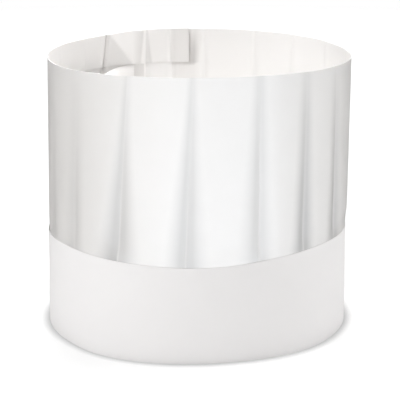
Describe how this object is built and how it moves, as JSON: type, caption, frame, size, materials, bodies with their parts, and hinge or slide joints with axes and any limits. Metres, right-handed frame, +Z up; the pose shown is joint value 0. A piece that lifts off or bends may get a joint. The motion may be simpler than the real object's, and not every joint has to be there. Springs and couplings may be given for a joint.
{
  "type": "paper chef hat",
  "caption": "Open-topped paper chef hat: a tall crown rolled from one darted sheet, lapped inside at the back, with a smooth headband round its foot.",
  "frame": {"origin": "middle of the foot, on the surface that the hat stands on", "axes": "+Z up through the open top, -Y towards the front, +X to the right as seen from the front"},
  "size_m": [0.1949, 0.1937, 0.1751],
  "materials": {
    "crown_paper": "smooth white satin paper, softly creased",
    "headband_paper": "matt white paper"
  },
  "bodies": {
    "root": {"crown": "crown_paper", "headband": "headband_paper"}
  },
  "joints": []
}
